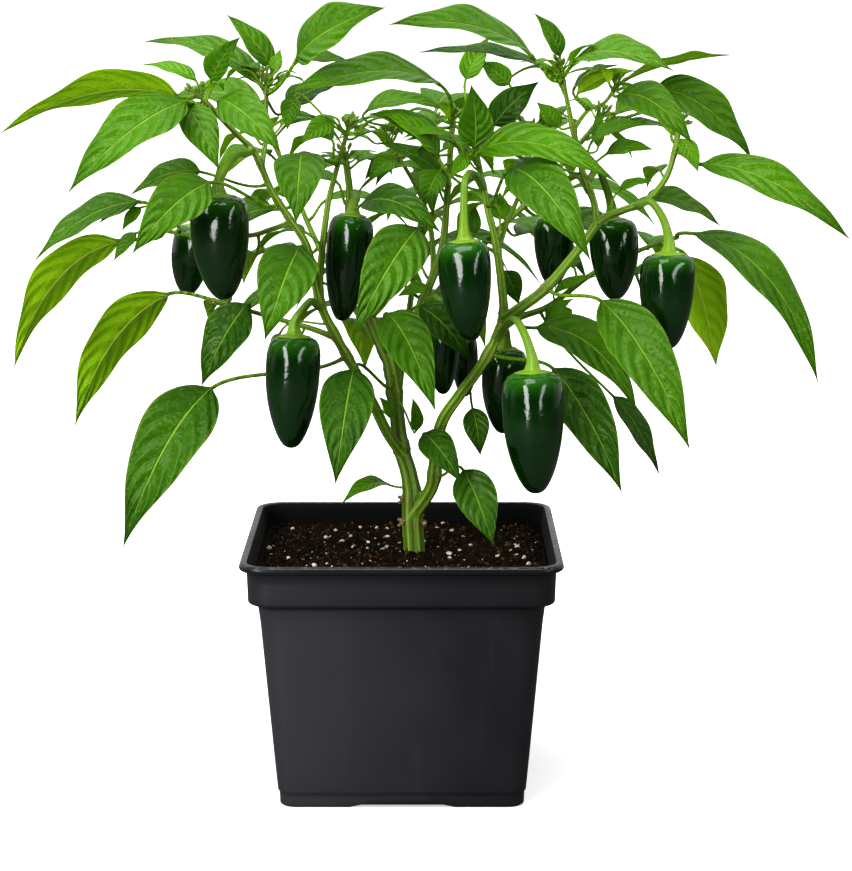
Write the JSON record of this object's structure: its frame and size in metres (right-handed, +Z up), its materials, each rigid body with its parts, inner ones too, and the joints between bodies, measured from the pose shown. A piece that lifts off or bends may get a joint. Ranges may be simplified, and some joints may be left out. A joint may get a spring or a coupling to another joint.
{
  "type": "potted chilli pepper plant",
  "caption": "Bushy chilli pepper plant with hanging dark green pods, pointed leaves and forked green stems in a square black nursery pot of soil.",
  "frame": {"origin": "middle of the pot's underside, on the surface it stands on", "axes": "+Z up along the trunk, -Y towards the front, where the largest hanging pods are, +X to the right seen from the front"},
  "size_m": [0.412, 0.274, 0.4009],
  "materials": {
    "pot_plastic": "satin charcoal polypropylene with a faint moulding grain, scuffed paler along the lip",
    "potting_soil": "loose dark peat and bark with white perlite grains",
    "stem_bark": "green ridged stem with corky tan rings at the nodes",
    "pod_skin": "waxy high gloss, very dark green",
    "leaf_green": "soft satin upper side with pale veins, paler matt underside"
  },
  "bodies": {
    "root": {"back_centre_branch": "stem_bark", "back_left_branch": "stem_bark", "back_right_branch": "stem_bark", "centre_leader": "stem_bark", "centre_twig": "stem_bark", "leaf_back_high": "leaf_green", "leaf_back_left_high": "leaf_green", "leaf_back_left_low": "leaf_green", "leaf_back_right_high": "leaf_green", "leaf_back_right_low": "leaf_green", "leaf_centre_front_large": "leaf_green", "leaf_centre_lowest": "leaf_green", "leaf_centre_middle": "leaf_green", "leaf_far_left_middle": "leaf_green", "leaf_far_left_top": "leaf_green", "leaf_far_left_upper": "leaf_green", "leaf_far_right_arching": "leaf_green", "leaf_far_right_top": "leaf_green", "leaf_left_centre_front": "leaf_green", "leaf_left_centre_low": "leaf_green", "leaf_left_front_round": "leaf_green", "leaf_left_low_pointed": "leaf_green", "leaf_left_lowest": "leaf_green", "leaf_left_top_front": "leaf_green", "leaf_right_front_large": "leaf_green", "leaf_right_hanging": "leaf_green", "leaf_right_low": "leaf_green", "leaf_right_top_rear": "leaf_green", "leaf_top_centre_long": "leaf_green", "leaf_top_left_long": "leaf_green", "leaf_top_left_raised": "leaf_green", "leaf_top_right_front": "leaf_green", "leaf_top_right_pointed": "leaf_green", "left_branch": "stem_bark", "left_leader": "stem_bark", "left_low_twig": "stem_bark", "left_middle_twig": "stem_bark", "left_top_twig": "stem_bark", "left_upper_branch": "stem_bark", "pepper_1": "pod_skin", "pepper_10": "pod_skin", "pepper_11": "pod_skin", "pepper_12": "pod_skin", "pepper_2": "pod_skin", "pepper_3": "pod_skin", "pepper_4": "pod_skin", "pepper_5": "pod_skin", "pepper_6": "pod_skin", "pepper_7": "pod_skin", "pepper_8": "pod_skin", "pepper_9": "pod_skin", "pot": "pot_plastic", "rear_right_branch": "stem_bark", "right_branch": "stem_bark", "right_fork": "stem_bark", "right_leader": "stem_bark", "right_top_twig": "stem_bark", "right_upper_branch": "stem_bark", "soil": "potting_soil", "trunk": "stem_bark"}
  },
  "joints": []
}
